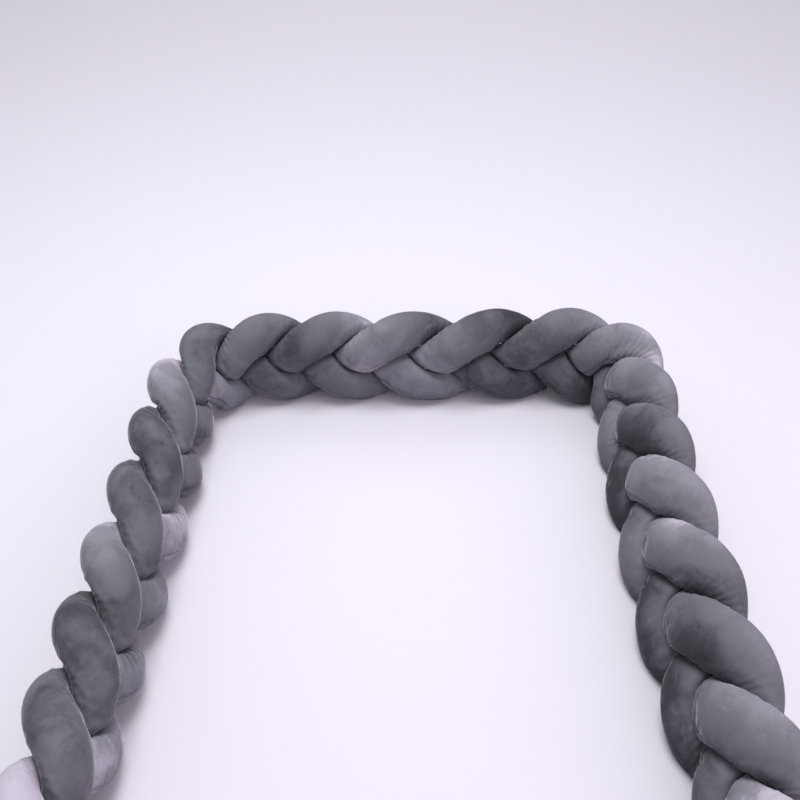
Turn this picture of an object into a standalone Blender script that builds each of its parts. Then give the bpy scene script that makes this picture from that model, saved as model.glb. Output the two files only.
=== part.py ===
# Braided crib bumper: three stuffed velour tubes plaited flat, standing on edge in a U.
# Metres, +Z up. The U opens towards -Y, and the origin is the middle of the base of its bounding box.

import bpy
import numpy as np
from math import pi

# ---- driving dimensions -------------------------------------------------------------------
BRAID_HEIGHT = 0.124       # floor to the crown of the upper lobes
BRAID_DEPTH = 0.068        # inner face to outer face
LOBE_PITCH = 0.0925        # from one upper lobe to the next, as the tubes were plaited
TUBE_WIDTH = 0.060         # a stuffed tube across the face of the plait
TUBE_THICKNESS = 0.044     # the same tube from face to back
FLOOR_SINK = 0.0062        # how far the lower lobes are flattened by the floor
CLOTH_GAP = 0.0021         # kept between the points of two tubes; their flat facets come closer
EDGE_ROUNDING = 7.0        # how tightly a tube rounds into a pressed face
EDGE_TURN = 0.07           # how sharply a tube turns back at the edges of the plait
FOLD_GUARD = 0.9           # share of its reach that a section keeps on the inside of a bend
END_ROUND = 0.030          # length of the rounded end of a tube
END_STEPS = (0.08, 0.3, 0.6)   # extra cross-sections within the last ring step of a rounded end
END_TAPER = 0.16           # over this length the plait narrows towards its ends
END_NARROWING = 0.30       # share of the plait's girth lost at its ends

# The U in plan, through the middle of the plait. Upper lobes are counted from the left arm's end;
# x and y are metres from the middle of the head end; lean is degrees, top of the plait outwards.
ROUTE = (
    # lobe, x, y, lean
    (-0.2, -0.285, -0.740, 3.0),
    (2.0, -0.284, -0.554, 4.0),
    (4.0, -0.282, -0.386, 6.0),
    (6.0, -0.277, -0.202, 8.0),
    (7.0, -0.278, -0.110, 6.0),
    (8.0, -0.259, -0.027, 3.0),
    (9.0, -0.189, 0.006, 0.0),
    (11.0, -0.004, 0.009, 1.0),
    (12.0, 0.102, 0.013, 3.0),
    (13.0, 0.203, 0.014, 6.0),
    (14.0, 0.272, -0.021, 10.0),
    (15.0, 0.277, -0.105, 14.0),
    (16.0, 0.272, -0.195, 15.0),
    (18.0, 0.268, -0.386, 17.0),
    (20.0, 0.274, -0.574, 14.0),
    (22.2, 0.280, -0.756, 10.0),
)

# A tube that would end where the others press it thin stops a little earlier, tucked in between them.
STRANDS = (
    # name, first lobe, last lobe
    ("strand_1", -0.2, 21.75),
    ("strand_2", 0.25, 22.2),
    ("strand_3", -0.2, 22.2),
)
VELOUR_GREY = (0.155, 0.155, 0.178)
VELOUR_ROUGHNESS = 0.9

RINGS_PER_LOBE = 8         # cross-sections of a tube between two upper lobes
SIDES = 12                 # points round a cross-section
REACH_STEPS = 24           # steps tried outwards from a tube's centre line
REACH_LIMIT = 1.3          # the farthest step, in tube radii
CROWN_SHARE = 0.25         # share of a repeat between mid height and the crown of a tube
LINE_SPARE = 0.6           # repeats of centre line drawn beyond each end of the one worked on
LINE_STEPS = 400           # short straight steps of such a line
TURN_NEAR = 0.01           # radians either side of a section, to read its direction
LOBE_NEAR = 0.001          # lobes either side of a point of the route, for the same
POINTS_AT_ONCE = 2048      # points measured against a line in one go

REPEAT = len(STRANDS) * LOBE_PITCH
RINGS_PER_REPEAT = len(STRANDS) * RINGS_PER_LOBE
TUBE_RADIUS = TUBE_WIDTH / 2
FLATTENING = TUBE_THICKNESS / TUBE_WIDTH
SWING_UP = (BRAID_HEIGHT + FLOOR_SINK - TUBE_WIDTH) / 2
SWING_IN = (BRAID_DEPTH - TUBE_THICKNESS) / 2 / FLATTENING
MID_HEIGHT = SWING_UP + TUBE_RADIUS - FLOOR_SINK


def clear_scene():
    for thing in list(bpy.data.objects):
        bpy.data.objects.remove(thing, do_unlink=True)


# ---- the plait laid out straight, its depth stretched so that the tubes are round ------------

def tube_line(turn):
    """Centre line of a tube: along, inward, up. One full turn is one repeat of the plait."""
    along = REPEAT * (turn / (2 * pi) - CROWN_SHARE)
    inward = SWING_IN * np.sin(2 * turn)
    up = SWING_UP * (np.sin(turn) - EDGE_TURN * np.sin(3 * turn)) / (1 + EDGE_TURN)
    return np.stack([along, inward, up], axis=-1)


def distance_to(points, line):
    """Shortest distance from each point to a line of short straight steps."""
    start, step = line[:-1], np.diff(line, axis=0)
    length_2 = (step * step).sum(axis=1)
    flat = points.reshape(-1, 3)
    nearest = np.empty(len(flat))
    for first in range(0, len(flat), POINTS_AT_ONCE):
        away = flat[first:first + POINTS_AT_ONCE, None, :] - start
        share = np.clip((away * step).sum(axis=2) / length_2, 0.0, 1.0)
        gap = away - share[..., None] * step
        nearest[first:first + POINTS_AT_ONCE] = np.sqrt((gap * gap).sum(axis=2).min(axis=1))
    return nearest.reshape(points.shape[:-1])


def section_spokes(turn):
    """Directions from the centre line to the points of each cross-section."""
    tangent = tube_line(turn + TURN_NEAR) - tube_line(turn - TURN_NEAR)
    tangent /= np.linalg.norm(tangent, axis=1, keepdims=True)
    inward = np.array([0.0, 1.0, 0.0])
    across = inward - tangent * (tangent @ inward)[:, None]
    across /= np.linalg.norm(across, axis=1, keepdims=True)
    sideways = np.cross(tangent, across)
    angle = 2 * pi * (np.arange(SIDES)[:, None] + 0.5) / SIDES
    return np.cos(angle) * across[:, None, :] + np.sin(angle) * sideways[:, None, :]


def neighbour_lines(turn):
    """Centre lines of the other two tubes alongside this one."""
    lines = []
    for lag in (1, 2):
        line = tube_line(turn + 2 * pi * lag / len(STRANDS))
        line[:, 0] -= lag * LOBE_PITCH
        lines.append(line)
    return lines


def first_crossing(steps, slack):
    """How far out each spoke first runs out of slack, or the last step if it never does."""
    out = slack < 0
    ever = out.any(axis=0)
    after = np.maximum(np.argmax(out, axis=0), 1)
    slack_before = np.take_along_axis(slack, after[None] - 1, axis=0)[0]
    slack_after = np.take_along_axis(slack, after[None], axis=0)[0]
    share = slack_before / np.where(ever, slack_before - slack_after, 1.0)
    crossing = steps[after - 1] + (steps[after] - steps[after - 1]) * share
    return np.where(ever, crossing, steps[-1])


def repeat_sections():
    """Cross-sections of one tube over one repeat, pressed flat where the other two touch it."""
    turn = 2 * pi * np.arange(RINGS_PER_REPEAT) / RINGS_PER_REPEAT
    centre = tube_line(turn)
    spoke = section_spokes(turn)
    long_turn = 2 * pi * np.linspace(-LINE_SPARE, 1 + LINE_SPARE, LINE_STEPS)
    own_line = tube_line(long_turn)
    other_lines = neighbour_lines(long_turn)

    # step outwards until a point is as near to another tube, or to another part of its own
    steps = REACH_LIMIT * TUBE_RADIUS * np.linspace(0.0, 1.0, REACH_STEPS + 1)
    probe = centre[:, None, :] + steps[:, None, None, None] * spoke
    own = distance_to(probe, own_line)
    other = np.min([distance_to(probe, line) for line in other_lines], axis=0)
    pressed = first_crossing(steps, other - own - CLOTH_GAP)
    folded = first_crossing(steps, own - FOLD_GUARD * steps[:, None, None])
    limit = np.minimum(pressed, folded)

    power = -EDGE_ROUNDING
    radius = (TUBE_RADIUS ** power + limit ** power) ** (1 / power)
    return centre, radius[..., None] * spoke


# ---- the plait laid along its route ---------------------------------------------------------

def smooth_curve(knots, values, at):
    """A natural cubic spline through values at knots."""
    width = np.diff(knots)
    rise = np.diff(values) / width
    bend = np.zeros(len(knots))
    matrix = np.diag(2 * (width[:-1] + width[1:])) + np.diag(width[1:-1], 1) + np.diag(width[1:-1], -1)
    bend[1:-1] = np.linalg.solve(matrix, 6 * np.diff(rise))
    cell = np.clip(np.searchsorted(knots, at) - 1, 0, len(width) - 1)
    step = at - knots[cell]
    slope = rise[cell] - width[cell] * (2 * bend[cell] + bend[cell + 1]) / 6
    cubic = (bend[cell + 1] - bend[cell]) / (6 * width[cell])
    return values[cell] + step * (slope + step * (bend[cell] / 2 + step * cubic))


def lay(points):
    """Where points of the straight plait come to lie once it stands in its U."""
    lobe = points[..., 0] / LOBE_PITCH
    lobes, xs, ys, leans = np.array(ROUTE).T
    x, y, lean = (smooth_curve(lobes, column, lobe) for column in (xs, ys, leans))
    ahead, behind = lobe + LOBE_NEAR, lobe - LOBE_NEAR
    run_x = smooth_curve(lobes, xs, ahead) - smooth_curve(lobes, xs, behind)
    run_y = smooth_curve(lobes, ys, ahead) - smooth_curve(lobes, ys, behind)
    run = np.hypot(run_x, run_y)

    to_end = np.minimum(lobe - lobes[0], lobes[-1] - lobe) * LOBE_PITCH
    slack = 1 - np.clip(to_end / END_TAPER, 0.0, 1.0)
    girth = 1 - END_NARROWING * slack ** 2
    height = np.maximum((MID_HEIGHT + points[..., 2]) * girth, 0.0)
    inward = points[..., 1] * FLATTENING * girth - (height - MID_HEIGHT) * np.tan(np.radians(lean))
    return np.stack([x + inward * run_y / run, y - inward * run_x / run, height], axis=-1)


def tube_sections(order):
    """All cross-sections of one tube, closed down to a rounded tip at both ends."""
    centre, spread = repeat_sections()
    name, first_lobe, last_lobe = STRANDS[order]
    first = int(np.ceil(first_lobe * RINGS_PER_LOBE))
    last = int(np.floor(last_lobe * RINGS_PER_LOBE))
    near_first = [first + step for step in END_STEPS]
    near_last = [last - step for step in END_STEPS]
    ring = np.array(sorted([*range(first, last + 1), *near_first, *near_last]))

    # place each section in the repeat, between the two that are worked out there
    below = np.floor(ring).astype(int)
    share = (ring - below)[:, None]
    crown_ring = round(CROWN_SHARE * RINGS_PER_REPEAT)
    here = (below - order * RINGS_PER_LOBE + crown_ring) % RINGS_PER_REPEAT
    ahead = (here + 1) % RINGS_PER_REPEAT
    middle = centre[here] * (1 - share) + centre[ahead] * share
    reach = spread[here] * (1 - share[..., None]) + spread[ahead] * share[..., None]

    ring_step = LOBE_PITCH / RINGS_PER_LOBE
    middle[:, 0] = ring * ring_step
    to_end = np.minimum(ring - first, last - ring) * ring_step
    closing = np.sqrt(1 - (1 - np.clip(to_end / END_ROUND, 0.0, 1.0)) ** 2)
    return lay(middle[:, None, :] + reach * closing[:, None, None])


def patch(corners, points, axis):
    """Two triangles for a four-sided patch, folded along the diagonal that lies deeper in the tube."""
    a, b, c, d = corners
    one = np.linalg.norm((points[a] + points[c]) / 2 - axis)
    other = np.linalg.norm((points[b] + points[d]) / 2 - axis)
    if one < other:
        return [(a, b, c), (a, c, d)]
    return [(a, b, d), (b, c, d)]


def lofted_mesh(name, rings):
    """A closed tube through its cross-sections, with a point at each end."""
    inner = rings[1:-1]
    count = len(inner)
    middle = inner.mean(axis=1)
    points = np.concatenate([inner.reshape(-1, 3), rings[:1].mean(axis=1), rings[-1:].mean(axis=1)])
    first_tip, last_tip = len(points) - 2, len(points) - 1
    last_ring = (count - 1) * SIDES
    faces = []
    for side in range(SIDES):
        beside = (side + 1) % SIDES
        faces.append((first_tip, side, beside))
        faces.append((last_tip, last_ring + beside, last_ring + side))
        for row in range(count - 1):
            here, ahead = row * SIDES, (row + 1) * SIDES
            corners = (here + side, ahead + side, ahead + beside, here + beside)
            faces += patch(corners, points, (middle[row] + middle[row + 1]) / 2)
    mesh = bpy.data.meshes.new(name)
    mesh.from_pydata(points.tolist(), [], faces)
    mesh.validate()
    mesh.shade_smooth()
    return mesh


def velour(name):
    material = bpy.data.materials.new(name)
    material.use_nodes = True
    shader = material.node_tree.nodes["Principled BSDF"]
    shader.inputs["Base Color"].default_value = (*VELOUR_GREY, 1.0)
    shader.inputs["Roughness"].default_value = VELOUR_ROUGHNESS
    shader.inputs["Metallic"].default_value = 0.0
    return material


def build():
    clear_scene()
    group = bpy.data.collections.new("crib_bumper")
    bpy.context.scene.collection.children.link(group)
    tubes = [tube_sections(order) for order in range(len(STRANDS))]
    everything = np.concatenate([tube.reshape(-1, 3) for tube in tubes])
    low, high = everything.min(axis=0), everything.max(axis=0)
    base_middle = np.array([(low[0] + high[0]) / 2, (low[1] + high[1]) / 2, 0.0])
    for (name, first_lobe, last_lobe), tube in zip(STRANDS, tubes):
        piece = bpy.data.objects.new(name, lofted_mesh(name, tube - base_middle))
        piece.data.materials.append(velour(name + "_velour"))
        group.objects.link(piece)


build()
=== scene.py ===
# Braided crib bumper: three stuffed velour tubes plaited flat and stood on edge in a U.
# Metres, +Z up. The U opens towards -Y, and the origin is the middle of its box, on the floor.

from math import pi, radians

import bpy
import numpy as np
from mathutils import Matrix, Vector


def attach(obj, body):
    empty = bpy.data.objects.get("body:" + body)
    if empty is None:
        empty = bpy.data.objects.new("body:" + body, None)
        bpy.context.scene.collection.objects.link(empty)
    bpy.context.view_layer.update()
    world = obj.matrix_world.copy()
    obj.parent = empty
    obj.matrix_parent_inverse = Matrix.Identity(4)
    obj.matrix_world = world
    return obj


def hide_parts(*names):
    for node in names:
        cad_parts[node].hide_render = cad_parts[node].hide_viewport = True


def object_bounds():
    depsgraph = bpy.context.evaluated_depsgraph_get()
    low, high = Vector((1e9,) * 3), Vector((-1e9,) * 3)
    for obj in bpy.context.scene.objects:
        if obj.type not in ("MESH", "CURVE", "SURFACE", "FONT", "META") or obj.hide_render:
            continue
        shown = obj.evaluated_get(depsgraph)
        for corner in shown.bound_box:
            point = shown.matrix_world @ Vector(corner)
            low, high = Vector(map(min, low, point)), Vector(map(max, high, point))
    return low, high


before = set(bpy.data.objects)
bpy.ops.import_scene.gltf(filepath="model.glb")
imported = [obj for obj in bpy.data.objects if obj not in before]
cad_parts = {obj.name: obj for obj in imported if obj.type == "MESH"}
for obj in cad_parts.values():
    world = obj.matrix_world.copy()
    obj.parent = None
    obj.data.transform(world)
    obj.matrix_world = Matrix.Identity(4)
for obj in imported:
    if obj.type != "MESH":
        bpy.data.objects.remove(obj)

cad_low, cad_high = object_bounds()


# ---- The plait ---------------------------------------------------------------------------------
# Three tubes, cut and sewn alike and stuffed full with fibre, are plaited flat like hair.
# Where two of them cross they press each other flat, so a section is shaped by all three centre lines.
# The plait is worked out straight, its depth stretched until the tubes are round, and then laid in its U.

braid_height = 0.124
braid_depth = 0.068
lobe_pitch = 0.0925           # from one upper lobe to the next
tube_width = 0.060
tube_thickness = 0.044
floor_sink = 0.0062           # how far the lower lobes are flattened where they stand
cloth_gap = 0.0006            # kept between two tubes
edge_rounding = 6.0           # how tightly a tube rounds into a pressed face
edge_turn = 0.07              # how sharply a tube turns back at the edges of the plait
fold_guard = 0.9              # share of its reach that a section keeps on the inside of a bend
crown_share = 0.25            # share of a repeat between mid height and a crown
least_bend = 3.0              # per metre; straighter than this, a tube has no inside of a bend
rings_per_lobe = 60
spoke_count = 96              # directions round a section in which its reach is found
reach_steps = 25              # places tried along each spoke
longest_reach = 1.3           # in tube radii
pressed_from = 1.06           # in tube radii; a section that reaches less far than this is being pressed
pressed_over = 0.10           # in tube radii, from free to fully pressed

repeat = 3 * lobe_pitch
tube_radius = tube_width / 2
flattening = tube_thickness / tube_width
swing_up = (braid_height + floor_sink - tube_width) / 2
swing_in = (braid_depth - tube_thickness) / 2 / flattening
mid_height = swing_up + tube_radius - floor_sink


def tube_line(turn):
    """Centre line of a tube: along, inward, up. One full turn is one repeat of the plait."""
    along = repeat * (turn / (2 * pi) - crown_share)
    inward = swing_in * np.sin(2 * turn)
    up = swing_up * (np.sin(turn) - edge_turn * np.sin(3 * turn)) / (1 + edge_turn)
    return np.stack([along, inward, up], axis=-1)


def distance_to(points, line):
    """Shortest distance from each point to a line of short straight steps."""
    flat = points.reshape(-1, 3)
    nearest = ((line * line).sum(axis=1) - 2 * flat @ line.T).argmin(axis=1)
    shortest = np.full(len(flat), np.inf)
    for first in (np.maximum(nearest - 1, 0), np.minimum(nearest, len(line) - 2)):
        start, step = line[first], line[first + 1] - line[first]
        share = np.clip(((flat - start) * step).sum(axis=1) / (step * step).sum(axis=1), 0.0, 1.0)
        shortest = np.minimum(shortest, np.linalg.norm(flat - start - share[:, None] * step, axis=1))
    return shortest.reshape(points.shape[:-1])


def first_crossing(steps, slack):
    """How far out each spoke first runs out of slack, or the last step if it never does."""
    out = slack < 0
    ever = out.any(axis=0)
    after = np.maximum(np.argmax(out, axis=0), 1)
    before = np.take_along_axis(slack, after[None] - 1, axis=0)[0]
    beyond = np.take_along_axis(slack, after[None], axis=0)[0]
    share = before / np.where(ever, before - beyond, 1.0)
    return np.where(ever, steps[after - 1] + (steps[after] - steps[after - 1]) * share, steps[-1])


def section_frame(turn):
    """Across and sideways directions of the sections, and the way the centre line bends."""
    step = 0.01
    ahead, behind = tube_line(turn + step), tube_line(turn - step)
    tangent = ahead - behind
    length = np.linalg.norm(tangent, axis=1, keepdims=True)
    bend = (ahead + behind - 2 * tube_line(turn)) / (length / 2) ** 2
    tangent = tangent / length
    inward = np.array([0.0, 1.0, 0.0])
    across = inward - tangent * (tangent @ inward)[:, None]
    across /= np.linalg.norm(across, axis=1, keepdims=True)
    return across, np.cross(tangent, across), bend


def spokes(turn, angles):
    """Directions from the centre line to the points of each section, and the bend of the line."""
    across, sideways, bend = section_frame(turn)
    directions = np.cos(angles)[:, None] * across[:, None, :]
    directions += np.sin(angles)[:, None] * sideways[:, None, :]
    return directions, bend


repeat_turn = 2 * pi * np.arange(3 * rings_per_lobe) / (3 * rings_per_lobe)
long_turn = 2 * pi * np.linspace(-0.6, 1.6, 200)   # a repeat and what lies beside it at both ends
other_lines = []
for lag in (1, 2):
    line = tube_line(long_turn + 2 * pi * lag / 3)
    line[:, 0] -= lag * lobe_pitch
    other_lines.append(line)
even_angles = 2 * pi * np.arange(spoke_count) / spoke_count
spoke, bend = spokes(repeat_turn, even_angles)
steps = longest_reach * tube_radius * np.linspace(0.0, 1.0, reach_steps)
probe = tube_line(repeat_turn)[:, None, :] + steps[:, None, None, None] * spoke
own = distance_to(probe, tube_line(long_turn))
other = np.minimum(distance_to(probe, other_lines[0]), distance_to(probe, other_lines[1]))
pressed_at = first_crossing(steps, other - own - cloth_gap)
folded_at = first_crossing(steps, own - fold_guard * steps[:, None, None])


def at_angles(table, angles):
    """Values of an even table round the tube, read between its columns by smooth curves."""
    count = table.shape[1]
    cell = angles / (2 * pi) * count
    below = np.floor(cell).astype(int)
    t = cell - below
    p0, p1, p2, p3 = (table[:, (below + k) % count] for k in (-1, 0, 1, 2))
    return p1 + 0.5 * t * (p2 - p0 + t * (2 * p0 - 5 * p1 + 4 * p2 - p3 + t * (3 * (p1 - p2) + p3 - p0)))


def repeat_sections(angles):
    """Sections of one tube over one repeat: centre, spokes, how pressed, and how far inside its bend."""
    spoke, bend = spokes(repeat_turn, angles)
    pressed = at_angles(pressed_at, angles)
    limit = np.minimum(pressed, at_angles(folded_at, angles))
    radius = (tube_radius ** -edge_rounding + limit ** -edge_rounding) ** (-1 / edge_rounding)
    pressed = np.clip((pressed_from - pressed / tube_radius) / pressed_over, 0.0, 1.0)
    inside = (spoke * bend[:, None, :]).sum(axis=2) / (np.linalg.norm(bend, axis=1)[:, None] + least_bend)
    return tube_line(repeat_turn), radius[..., None] * spoke, pressed, inside


# The U in plan, through the middle of the plait. Upper lobes are counted from the left arm's end;
# x and y are metres from the middle of the U's closed end; lean is degrees, top of the plait outwards.
route = np.array((
    # lobe, x, y, lean
    (-0.2, -0.285, -0.740, 3.0),
    (2.0, -0.284, -0.554, 4.0),
    (4.0, -0.282, -0.386, 6.0),
    (6.0, -0.277, -0.202, 8.0),
    (7.0, -0.278, -0.110, 6.0),
    (8.0, -0.259, -0.027, 3.0),
    (9.0, -0.189, 0.006, 0.0),
    (11.0, -0.004, 0.009, 1.0),
    (12.0, 0.102, 0.013, 3.0),
    (13.0, 0.203, 0.014, 6.0),
    (14.0, 0.272, -0.021, 10.0),
    (15.0, 0.277, -0.105, 14.0),
    (16.0, 0.272, -0.195, 15.0),
    (18.0, 0.268, -0.386, 17.0),
    (20.0, 0.274, -0.574, 14.0),
    (22.2, 0.280, -0.756, 10.0),
))
end_taper = 0.16              # over this length the plait narrows towards its ends
end_narrowing = 0.30          # share of its girth lost there


def smooth_curve(knots, values, at):
    """A natural cubic spline through values at knots."""
    width = np.diff(knots)
    rise = np.diff(values) / width
    bend = np.zeros(len(knots))
    matrix = np.diag(2 * (width[:-1] + width[1:])) + np.diag(width[1:-1], 1) + np.diag(width[1:-1], -1)
    bend[1:-1] = np.linalg.solve(matrix, 6 * np.diff(rise))
    cell = np.clip(np.searchsorted(knots, at) - 1, 0, len(width) - 1)
    step = at - knots[cell]
    slope = rise[cell] - width[cell] * (2 * bend[cell] + bend[cell + 1]) / 6
    cubic = (bend[cell + 1] - bend[cell]) / (6 * width[cell])
    return values[cell] + step * (slope + step * (bend[cell] / 2 + step * cubic))


def lay(points):
    """Where points of the straight plait come to lie once it stands in its U."""
    lobe = points[..., 0] / lobe_pitch
    lobes, xs, ys, leans = route.T
    x, y, lean = (smooth_curve(lobes, column, lobe) for column in (xs, ys, leans))
    step = 0.001
    run_x = smooth_curve(lobes, xs, lobe + step) - smooth_curve(lobes, xs, lobe - step)
    run_y = smooth_curve(lobes, ys, lobe + step) - smooth_curve(lobes, ys, lobe - step)
    run = np.hypot(run_x, run_y)
    to_end = np.minimum(lobe - lobes[0], lobes[-1] - lobe) * lobe_pitch
    girth = 1 - end_narrowing * (1 - np.clip(to_end / end_taper, 0.0, 1.0)) ** 2
    height = np.maximum((mid_height + points[..., 2]) * girth, 0.0)
    inward = points[..., 1] * flattening * girth - (height - mid_height) * np.tan(np.radians(lean))
    return np.stack([x + inward * run_y / run, y - inward * run_x / run, height], axis=-1)


end_round = 0.030             # length of the rounded end of a tube


def tube_sections(order, first_lobe, last_lobe, angles):
    """One tube's sections as they lie, with the place of each along the plait."""
    centre, spread, pressed, inside = repeat_sections(angles)
    first = 2 * int(np.ceil(first_lobe * rings_per_lobe / 2))
    last = 2 * int(np.floor(last_lobe * rings_per_lobe / 2))
    ring = np.arange(first, last + 1)
    part = (ring - order * rings_per_lobe + round(crown_share * len(repeat_turn))) % len(repeat_turn)
    middle = centre[part].copy()
    middle[:, 0] = ring * lobe_pitch / rings_per_lobe
    to_end = np.minimum(ring - first, last - ring) * lobe_pitch / rings_per_lobe
    closing = np.sqrt(1 - (1 - np.clip(to_end / end_round, 0.0, 1.0)) ** 2)
    points = lay(middle[:, None, :] + spread[part] * closing[:, None, None])
    return points, ring / rings_per_lobe, pressed[part], inside[part]


# ---- Velour ------------------------------------------------------------------------------------
# A grey short-pile velour, warp-knitted polyester. Its colour is painted paler or darker lobe by lobe, a
# painted shade and sheen for how the light falls on the lie of the pile; over that the pile is pale where
# it is brushed one way and dark where it is brushed the other, in soft patches, and it catches light along
# every edge.

pile = bpy.data.node_groups.new("velour pile", "ShaderNodeTree")
pile.interface.new_socket(name="Painted Shade", in_out="INPUT", socket_type="NodeSocketFloat")
pile.interface.new_socket(name="Seam", in_out="INPUT", socket_type="NodeSocketFloat")
pile.interface.new_socket(name="Color", in_out="OUTPUT", socket_type="NodeSocketColor")
pile.interface.new_socket(name="Height", in_out="OUTPUT", socket_type="NodeSocketFloat")
given = pile.nodes.new("NodeGroupInput")
made = pile.nodes.new("NodeGroupOutput")
place = pile.nodes.new("ShaderNodeTexCoord")


def unevenness(scale, detail, roughness=0.5, distortion=0.0):
    """A noise fixed to the cloth, from 0 to 1. The scale is in lumps per metre."""
    noise = pile.nodes.new("ShaderNodeTexNoise")
    noise.inputs["Scale"].default_value = scale
    noise.inputs["Detail"].default_value = detail
    noise.inputs["Roughness"].default_value = roughness
    noise.inputs["Distortion"].default_value = distortion
    pile.links.new(place.outputs["Object"], noise.inputs["Vector"])
    return noise.outputs["Fac"]


def spread(source, between, result, smooth=False):
    """A value that runs from the first result to the second while its source runs between two values."""
    ramp = pile.nodes.new("ShaderNodeMapRange")
    if smooth:
        ramp.interpolation_type = "SMOOTHSTEP"
    ramp.inputs["From Min"].default_value, ramp.inputs["From Max"].default_value = between
    ramp.inputs["To Min"].default_value, ramp.inputs["To Max"].default_value = result
    pile.links.new(source, ramp.inputs["Value"])
    return ramp.outputs["Result"]


def added(first, second):
    """The sum of two values."""
    total = pile.nodes.new("ShaderNodeMath")
    total.operation = "ADD"
    pile.links.new(first, total.inputs[0])
    pile.links.new(second, total.inputs[1])
    return total.outputs[0]


# the painted shade of each lobe, with soft patches over it where hands have brushed the pile
patches = unevenness(26.0, 1.5, roughness=0.45, distortion=0.3)
shade_and_patches = added(given.outputs["Painted Shade"], spread(patches, (0.38, 0.62), (-0.07, 0.07), smooth=True))

# finger marks with one crisp edge, some dark and some pale
marks = unevenness(34.0, 2.5, roughness=0.6, distortion=1.2)
dark_marks = spread(marks, (0.60, 0.64), (0.0, -0.06))
pale_marks = spread(marks, (0.34, 0.38), (0.06, 0.0))
shade_and_marks = added(shade_and_patches, added(dark_marks, pale_marks))

# short strokes within the patches
strokes = unevenness(95.0, 4.0, roughness=0.55, distortion=1.4)
shade_and_strokes = added(shade_and_marks, spread(strokes, (0.25, 0.75), (-0.045, 0.045)))

# single tufts, under a millimetre across
tufts = unevenness(1500.0, 2.0)
shade_and_tufts = added(shade_and_strokes, spread(tufts, (0.3, 0.7), (-0.035, 0.035)))

# greys from painted dark to painted pale; the lilac tint of the paler greys is partly a painted reflection
# of lilac light
greys = pile.nodes.new("ShaderNodeValToRGB")
greys.color_ramp.interpolation = "EASE"
greys.color_ramp.elements[0].position = 0.0
greys.color_ramp.elements[0].color = (0.040, 0.039, 0.048, 1.0)
greys.color_ramp.elements[1].position = 1.0
greys.color_ramp.elements[1].color = (0.440, 0.402, 0.480, 1.0)
middle_grey = greys.color_ramp.elements.new(0.45)
middle_grey.color = (0.136, 0.135, 0.158, 1.0)
light_grey = greys.color_ramp.elements.new(0.72)
light_grey.color = (0.208, 0.200, 0.234, 1.0)
pile.links.new(shade_and_tufts, greys.inputs["Fac"])

# painted shade along the sewn seam: where the pile parts, its base in the groove is painted dark
seam_shade_mix = pile.nodes.new("ShaderNodeMix")
seam_shade_mix.data_type = "RGBA"
seam_shade_mix.inputs["B"].default_value = (0.045, 0.046, 0.056, 1.0)
pile.links.new(given.outputs["Seam"], seam_shade_mix.inputs["Factor"])
pile.links.new(greys.outputs["Color"], seam_shade_mix.inputs["A"])
pile.links.new(seam_shade_mix.outputs["Result"], made.inputs["Color"])

# the pile stands mostly by its tufts and a little by its strokes
stroke_height = 0.12
height = pile.nodes.new("ShaderNodeMath")
height.operation = "MULTIPLY_ADD"
height.inputs[1].default_value = stroke_height
pile.links.new(strokes, height.inputs[0])
pile.links.new(tufts, height.inputs[2])
pile.links.new(height.outputs[0], made.inputs["Height"])


def velour(name):
    """One tube's velour, with the painted shade of its pile's lay and of its seam read from the mesh."""
    material = bpy.data.materials.new(name)
    material.use_nodes = True
    nodes, links = material.node_tree.nodes, material.node_tree.links
    shader = nodes["Principled BSDF"]
    shader.inputs["Roughness"].default_value = 0.88
    shader.inputs["Specular IOR Level"].default_value = 0.18
    shader.inputs["Sheen Weight"].default_value = 1.0
    shader.inputs["Sheen Roughness"].default_value = 0.16
    shader.inputs["Sheen Tint"].default_value = (0.86, 0.82, 0.92, 1.0)
    cloth = nodes.new("ShaderNodeGroup")
    cloth.node_tree = pile
    pile_shade_attribute = nodes.new("ShaderNodeAttribute")
    pile_shade_attribute.attribute_name = "lay"
    seam = nodes.new("ShaderNodeAttribute")
    seam.attribute_name = "seam"
    bump = nodes.new("ShaderNodeBump")
    bump.inputs["Distance"].default_value = 0.0004
    bump.inputs["Strength"].default_value = 0.6
    links.new(pile_shade_attribute.outputs["Fac"], cloth.inputs["Painted Shade"])
    links.new(seam.outputs["Fac"], cloth.inputs["Seam"])
    links.new(cloth.outputs["Color"], shader.inputs["Base Color"])
    links.new(cloth.outputs["Height"], bump.inputs["Height"])
    links.new(bump.outputs["Normal"], shader.inputs["Normal"])
    return material


# ---- The three tubes ---------------------------------------------------------------------------
# Each is a long strip of velour sewn into a tube with one seam along it, turned, and stuffed with fibre.
# The seam lies low on the inner side. The cloth gathers inside each bend and creases where it is nipped.

strands = (
    # node, first lobe, last lobe, seam in degrees from the inner side
    ("strand_1", -0.2, 21.75, -34.0),
    ("strand_2", 0.25, 22.2, -40.0),
    ("strand_3", -0.2, 22.2, -30.0),
)
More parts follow.
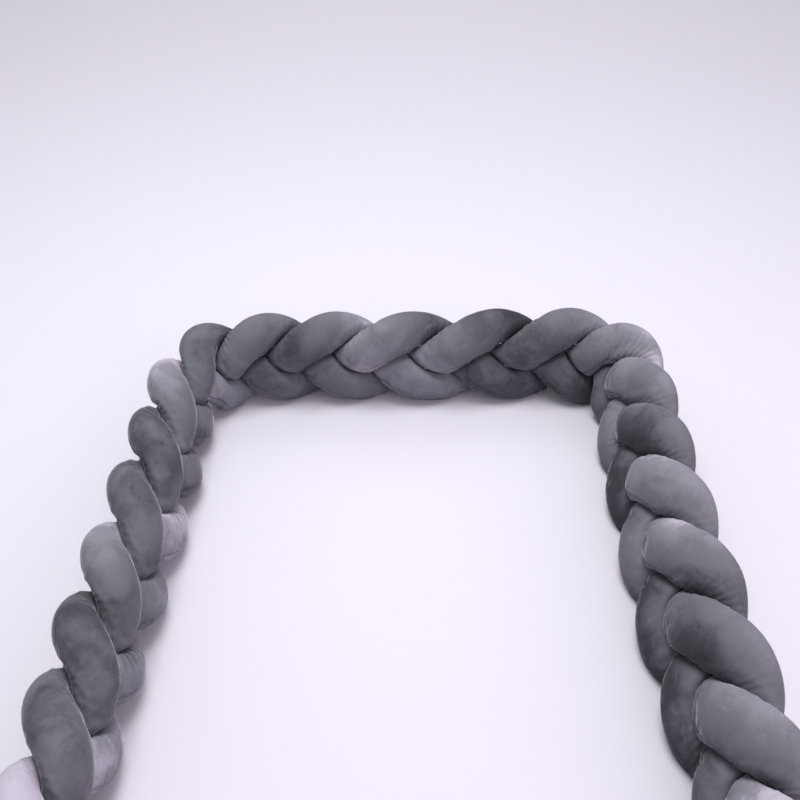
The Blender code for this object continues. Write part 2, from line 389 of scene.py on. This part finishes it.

# Painted shade and sheen, lobe by lobe, from 0 painted dark to 1 painted pale: how the light falls on each
# lobe and on the lie of its pile.
painted_pile_shade = {
    "strand_1": (
        # lobe, where it starts, where it ends
        (0, 0.50, 0.50), (1.5, 0.60, 0.60), (3, 0.26, 0.12), (4.5, 0.60, 0.66), (6, 0.22, 0.22),
        (7.5, 0.50, 0.55), (9, 0.54, 0.30), (10.5, 0.46, 0.46), (11.85, 0.66, -0.04), (13.5, 0.24, 0.18),
        (15, 0.64, 0.26), (16.5, 0.06, 0.06), (18, 0.64, -0.04), (19.5, 0.20, 0.20), (21, 0.76, 0.50),
    ),
    "strand_2": (
        # lobe, where it starts, where it ends
        (1, 0.98, 1.05), (2.5, 0.80, 0.80), (4, 0.24, 0.94), (5.5, 0.86, 0.86), (7, 0.36, 1.12),
        (8.5, 0.69, 0.69), (10, 0.20, 0.80), (11.5, 0.56, 0.56), (13, 0.22, 0.70), (14.5, 0.30, 0.30),
        (16, 0.13, 0.16), (17.5, 0.50, 0.50), (19, 0.24, 0.20), (20.5, 0.35, 0.35), (22, 0.60, 0.60),
    ),
    "strand_3": (
        # lobe, where it starts, where it ends
        (0.5, 0.45, 0.45), (2, 0.33, 0.27), (3.5, 0.62, 0.60), (5, 0.32, 0.24), (6.5, 0.36, 0.36),
        (8, 0.34, 0.24), (9.5, 0.32, 0.32), (10.88, 0.78, 0.22), (12.5, 0.24, 0.24), (14, 0.58, 0.84),
        (15.5, 0.62, 0.45), (17, 0.68, 0.29), (18.5, 0.20, 0.20), (20, 0.56, 0.18), (21.5, 0.35, 0.35),
    ),
}
shade_reach = 0.38              # of a lobe, from its middle to where it starts or ends
side_shade = 0.28             # painted light and shade: on the right arm the outer upper side is painted paler and the other side darker
lit_side_degrees = 115.0          # where the painted light is palest, from the inner side
side_from, side_full = 14.0, 15.5   # lobes

# Where another tube nips the cloth in and it gathers.
nips = {
    "strand_1": (
        # lobe, reach in lobes, strength
        (1.35, 0.25, 1.2), (7.30, 0.25, 2.0), (8.70, 0.20, 0.8), (12.40, 0.15, 0.4),
        (13.10, 0.15, 0.5), (15.45, 0.25, 0.5), (18.45, 0.25, 0.4), (19.30, 0.20, 0.4),
    ),
    "strand_2": (
        # lobe, reach in lobes, strength
        (8.40, 0.20, 0.6), (12.70, 0.20, 0.6), (16.45, 0.25, 0.5), (19.45, 0.25, 0.3),
    ),
    "strand_3": (
        # lobe, reach in lobes, strength
        (10.70, 0.15, 0.4), (14.00, 0.35, 1.1), (15.40, 0.25, 0.7), (17.45, 0.25, 0.4), (20.45, 0.25, 0.5),
    ),
}

# Short creases on the side that faces inwards, just below a tube that lies over this one.
creases = {
    "strand_1": (
        # lobe, reach in lobes, side in degrees, strength
        (4.08, 0.09, 46.0, 0.8), (6.96, 0.12, -20.0, 0.7), (10.08, 0.08, 46.0, 0.4),
    ),
    "strand_2": (
        # lobe, reach in lobes, side in degrees, strength
        (2.13, 0.10, 46.0, 1.0), (5.17, 0.10, 46.0, 1.2),
    ),
    "strand_3": (
        # lobe, reach in lobes, side in degrees, strength
        (3.13, 0.15, 46.0, 2.2), (6.10, 0.10, 46.0, 0.8),
    ),
}

seam_steps = (0.05, 0.11, 0.20)   # radians either side of the seam
plain_sides = 23              # sides of a tube away from its seam
seam_depth = 0.0014
seam_width = 0.0022
seam_line_width = 0.0009
seam_line_shade = 0.62        # painted shade along the seam: share by which the pile there is painted dark where it parts
stitch_spacing = 0.009
stitch_pucker = 0.25          # share of the seam's depth that comes and goes with the stitches
stitch_waver = 0.05           # size of the lumps that put the stitches out of step
gather_depth = 0.0019
gather_spacing = 0.0066
gather_least = 0.12           # strength of the gathers away from the nips
gather_from, gather_full = -0.9, 0.4   # from the outside of a bend, -1, to its inside, 1
gather_waver = 0.022          # size of the lumps that put the gathers out of step
gather_waver_turn = 3.0       # radians
gather_cluster = 0.020        # size of the lumps in which gathers are strong or weak
cluster_middle = 0.90         # strength halfway between strong and weak
cluster_swing = 0.6
cluster_least, cluster_most = 0.3, 1.0
gather_shade = 0.30           # painted shade: how much darker the pile is painted down in a gather
crease_round = 0.45           # radians that a crease reaches round the tube, either way
lump_depth = 0.0007
lump_size = 0.030
standing_height = 0.0005      # cloth lower than this stands on the floor
floor_fade = 0.006            # seam, gathers and lumps fade out over this height
cloth_frames = 20
cloth_quality = 5
cloth_pressure = 3.0
cloth_spare = 0.02            # share by which the cloth is cut larger than the tube it covers
most_moved = 0.003            # by the stuffing


def with_midpoints(angles):
    """Angles round a tube with a new one halfway between each pair."""
    following = np.roll(angles, -1)
    following[-1] += 2 * pi
    return np.stack([angles, (angles + following) / 2], axis=1).ravel()


def tube_normals(points):
    """Outward normals of a grid of points round a tube."""
    around = np.roll(points, -1, axis=1) - np.roll(points, 1, axis=1)
    forward = np.gradient(points, axis=0)
    normal = np.cross(around, forward)
    length = np.linalg.norm(normal, axis=2, keepdims=True)
    return -normal / np.maximum(length, 1e-12)


def bumps(points, size, seed):
    """Smooth unevenness over points, from -1 to 1, in lumps of the size given."""
    cells = 16
    lattice = np.random.default_rng(seed).uniform(-1.0, 1.0, (cells, cells, cells))
    place = points / size
    corner = np.floor(place).astype(int)
    share = place - corner
    share = share * share * (3 - 2 * share)
    total = np.zeros(points.shape[:-1])
    for step in np.ndindex(2, 2, 2):
        weight = np.prod(np.where(np.array(step) == 1, share, 1 - share), axis=-1)
        x, y, z = np.moveaxis((corner + step) % cells, -1, 0)
        total += weight * lattice[x, y, z]
    return total


def tube_mesh(name, points):
    """A closed tube through its sections, ending in a point at each end."""
    inner = points[1:-1]
    count, sides = inner.shape[:2]
    corners = np.concatenate([inner.reshape(-1, 3), points[:1].mean(axis=1), points[-1:].mean(axis=1)])
    grid = np.arange(count * sides).reshape(count, sides)
    beside = np.roll(grid, -1, axis=1)
    quads = np.stack([grid[:-1], grid[1:], beside[1:], beside[:-1]], axis=-1).reshape(-1, 4)
    first_tip, last_tip = len(corners) - 2, len(corners) - 1
    faces = quads.tolist()
    faces += [(first_tip, int(a), int(b)) for a, b in zip(grid[0], beside[0])]
    faces += [(last_tip, int(b), int(a)) for a, b in zip(grid[-1], beside[-1])]
    mesh = bpy.data.meshes.new(name)
    mesh.from_pydata(corners.tolist(), [], faces)
    mesh.validate()
    mesh.shade_smooth()
    return mesh


def stuff(name, points, held):
    """How far each point moves when the fibre pushes the cloth out between the places that hold it."""
    trial = bpy.data.objects.new(name + "_trial", tube_mesh(name + "_trial", points))
    bpy.context.scene.collection.objects.link(trial)
    group = trial.vertex_groups.new(name="held")
    holding = np.concatenate([held[1:-1].ravel(), [1.0, 1.0]])
    least_hold = 0.01
    for index, weight in enumerate(holding):
        if weight > least_hold:
            group.add([index], float(weight), "REPLACE")
    cloth = trial.modifiers.new("cloth", "CLOTH")
    settings = cloth.settings
    settings.quality = cloth_quality
    settings.mass = 0.15
    settings.tension_stiffness = 12.0
    settings.compression_stiffness = 12.0
    settings.shear_stiffness = 4.0
    settings.bending_stiffness = 0.25
    settings.use_pressure = True
    settings.uniform_pressure_force = cloth_pressure
    settings.shrink_min = -cloth_spare
    settings.vertex_group_mass = "held"
    settings.pin_stiffness = 1.0
    settings.effector_weights.gravity = 0.0
    cloth.collision_settings.use_collision = False
    cloth.point_cache.frame_start = 1
    cloth.point_cache.frame_end = cloth_frames
    for step in range(1, cloth_frames + 1):
        bpy.context.scene.frame_set(step)
    stuffed = trial.evaluated_get(bpy.context.evaluated_depsgraph_get()).to_mesh()
    places = np.empty(len(stuffed.vertices) * 3)
    stuffed.vertices.foreach_get("co", places)
    moved = np.zeros_like(points)
    moved[1:-1] = places.reshape(-1, 3)[:-2].reshape(points[1:-1].shape) - points[1:-1]
    bpy.context.scene.frame_set(1)
    trial_mesh = trial.data
    bpy.data.objects.remove(trial)
    bpy.data.meshes.remove(trial_mesh)
    length = np.maximum(np.linalg.norm(moved, axis=2, keepdims=True), 1e-9)
    return moved * most_moved * np.tanh(length / most_moved) / length


def woven_midpoints(grid, axis, closed):
    """A grid with a new row halfway between each pair, on smooth curves through its rows."""
    if closed:
        before, here, after, beyond = (np.roll(grid, -k, axis=axis) for k in (-1, 0, 1, 2))
    else:
        pad = [(0, 0)] * grid.ndim
        pad[axis] = (1, 2)
        wide = np.pad(grid, pad, mode="edge")
        count = grid.shape[axis]
        before, here, after, beyond = (np.take(wide, np.arange(k, k + count), axis=axis) for k in range(4))
    halves = (9 * (here + after) - before - beyond) / 16   # a cubic through the four
    shape = list(grid.shape)
    shape[axis] *= 2
    woven = np.stack([grid, halves], axis=axis + 1).reshape(shape)
    return woven if closed else np.take(woven, np.arange(shape[axis] - 1), axis=axis)


def add_values(mesh, name, values):
    """A value for each point of a tube's mesh, by section and by side."""
    inner = values[1:-1]
    layer = mesh.attributes.new(name, "FLOAT", "POINT")
    layer.data.foreach_set("value", np.concatenate([inner.ravel(), values[0, :1], values[-1, :1]]))


def angle_from(angles, middle):
    """Angles round a tube counted from a middle one, between half a turn either way."""
    return np.arctan2(np.sin(angles - middle), np.cos(angles - middle))


tubes = {}
for order, (name, first_lobe, last_lobe, seam_degrees) in enumerate(strands):
    seam_angle = radians(seam_degrees)
    beyond = seam_angle + seam_steps[-1]
    plain = np.linspace(beyond, seam_angle - seam_steps[-1] + 2 * pi, plain_sides + 1)[1:-1]
    near_seam = [seam_angle - step for step in reversed(seam_steps)] + [seam_angle]
    near_seam += [seam_angle + step for step in seam_steps]
    angles = with_midpoints(np.array([*near_seam, *plain]))
    tubes[name] = (angles, seam_angle, *tube_sections(order, first_lobe, last_lobe, angles))

# the tubes are moved so that their box has the same middle as the solids'
corner_low = np.min([tube[2].min(axis=(0, 1)) for tube in tubes.values()], axis=0)
corner_high = np.max([tube[2].max(axis=(0, 1)) for tube in tubes.values()], axis=0)
shift = (corner_low + corner_high) / 2 - np.array((cad_low + cad_high) / 2)
shift[2] = 0.0

for order, (name, tube) in enumerate(tubes.items()):
    angles, seam_angle, points, lobe, pressed, inside = tube
    points = points - shift
    held = np.clip(pressed + (points[..., 2] < standing_height), 0.0, 1.0)
    moved = stuff(name, points[::2, ::2], held[::2, ::2])
    moved = woven_midpoints(woven_midpoints(moved, 0, closed=False), 1, closed=True)
    points = points + moved
    middles = points.mean(axis=1)
    stretches = np.linalg.norm(np.diff(middles, axis=0, prepend=middles[:1]), axis=1)
    length_along = np.cumsum(stretches)[:, None]

    # the seam pulls the cloth in, more at each stitch
    from_seam = angle_from(angles, seam_angle)[None, :] * tube_radius
    groove = np.exp(-(from_seam / seam_width) ** 2)
    stitches = np.sin(2 * pi * length_along / stitch_spacing + 2 * bumps(points, stitch_waver, 7 + order))
    pucker = 1 - stitch_pucker + stitch_pucker * stitches

    # gathers fan out round the tube from the inside of its bends, and creases from where it is nipped
    strength = np.full(len(lobe), gather_least)
    for nip, reach, share in nips[name]:
        strength += share * np.exp(-((lobe - nip) / reach) ** 2)
    waver = gather_waver_turn * bumps(points, gather_waver, 21 + order)
    wave = np.cos(2 * pi * length_along / gather_spacing + waver)
    cluster = cluster_middle + cluster_swing * bumps(points, gather_cluster, 40 + order)
    cluster = np.clip(cluster, cluster_least, cluster_most)
    fan = np.clip((inside - gather_from) / (gather_full - gather_from), 0.0, 1.0)
    reached = fan * strength[:, None]
    for crease, reach, side, share in creases[name]:
        near = np.exp(-((lobe - crease) / reach) ** 2)[:, None]
        reached = reached + share * near * np.exp(-(angle_from(angles, radians(side)) / crease_round) ** 2)
    gathers = (0.5 + 0.5 * wave) ** 2 * cluster * reached

    lumps = bumps(points, lump_size, 3 + order) * (1 - pressed)
    off_floor = np.clip(points[..., 2] / floor_fade, 0.0, 1.0)
    rise = lump_depth * lumps - gather_depth * gathers - seam_depth * groove * pucker
    points = points + tube_normals(points) * (rise * off_floor)[..., None]
    points[..., 2] = np.maximum(points[..., 2], 0.0)

    # painted shade and light: the pile's lay and the light on it change from lobe to lobe, on one arm from
    # side to side, and the gathers are painted darker
    mesh = tube_mesh(name + "_cover", points)
    lobes, starts, ends = np.array(painted_pile_shade[name]).T
    knots = np.stack([lobes - shade_reach, lobes + shade_reach], axis=1).ravel()
    along = np.interp(lobe, knots, np.stack([starts, ends], axis=1).ravel())
    across = side_shade * np.cos(angles - radians(lit_side_degrees))
    across = np.interp(lobe, (side_from, side_full), (0.0, 1.0))[:, None] * across
    add_values(mesh, "lay", along[:, None] + across - gather_shade * gathers)
    # painted shade along the seam's groove
    painted_seam_shade = seam_line_shade * np.exp(-(from_seam / seam_line_width) ** 2)
    add_values(mesh, "seam", np.repeat(painted_seam_shade, len(lobe), axis=0))

    cover = bpy.data.objects.new(name + "_cover", mesh)
    bpy.context.scene.collection.objects.link(cover)
    mesh.materials.append(velour(name + "_velour"))
    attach(cover, "root")
    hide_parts(name)


# ---- Floor, light and camera -------------------------------------------------------------------
# A plain pale floor in a white room. A large ceiling light, a faint window on the right and a light
# over the far floor make it even, and the camera looks down into the U from its open end.

floor_reach = 6.0
floor_corners = [(x * floor_reach, y * floor_reach, 0.0) for x, y in ((-1, -1), (1, -1), (1, 1), (-1, 1))]
floor_mesh = bpy.data.meshes.new("floor")
floor_mesh.from_pydata(floor_corners, [], [(0, 1, 2, 3)])
floor = bpy.data.objects.new("floor", floor_mesh)
bpy.context.scene.collection.objects.link(floor)
floor_paint = bpy.data.materials.new("floor")
floor_paint.use_nodes = True
floor_shader = floor_paint.node_tree.nodes["Principled BSDF"]
floor_shader.inputs["Base Color"].default_value = (0.64, 0.614, 0.68, 1.0)
floor_shader.inputs["Roughness"].default_value = 0.9
floor_shader.inputs["Specular IOR Level"].default_value = 0.1
floor_mesh.materials.append(floor_paint)

world = bpy.data.worlds.new("soft room")
world.use_nodes = True
sky = world.node_tree.nodes["Background"]
sky.inputs["Color"].default_value = (0.97, 0.96, 1.0, 1.0)
sky.inputs["Strength"].default_value = 0.6
bpy.context.scene.world = world

lamps = (
    # name, place, aim, size, watts, colour
    ("ceiling light", (-0.12, 0.32, 1.9), (0.0, 0.0, 0.0), 0.9, 28.5, (1.0, 1.0, 1.0)),
    ("window light", (1.2, -1.0, 1.1), (0.2, 0.0, 0.05), 1.2, 9.0, (1.0, 0.86, 1.0)),
    ("far light", (0.0, 3.0, 2.6), (0.0, 3.2, 0.0), 2.5, 35.0, (1.0, 1.0, 1.0)),
)
for lamp_name, lamp_place, lamp_aim, lamp_size, watts, lamp_colour in lamps:
    lamp = bpy.data.lights.new(lamp_name, "AREA")
    lamp.energy = watts
    lamp.color = lamp_colour
    lamp.size = lamp_size
    lamp_object = bpy.data.objects.new(lamp_name, lamp)
    lamp_object.location = lamp_place
    toward = Vector(lamp_aim) - Vector(lamp_place)
    lamp_object.rotation_euler = toward.to_track_quat("-Z", "Y").to_euler()
    bpy.context.scene.collection.objects.link(lamp_object)

camera_place = (-0.008, -0.9674, 0.7581)   # from the middle of the U's closed end
camera_tilt = 38.3            # degrees below level
camera = bpy.data.cameras.new("camera")
camera.sensor_width = 36.0
camera.lens = 41.04
camera_object = bpy.data.objects.new("camera", camera)
camera_object.location = Vector(camera_place) - Vector(shift)
camera_object.rotation_euler = (radians(90 - camera_tilt), 0.0, 0.0)
bpy.context.scene.collection.objects.link(camera_object)
bpy.context.scene.camera = camera_object
bpy.context.scene.view_settings.view_transform = "Standard"
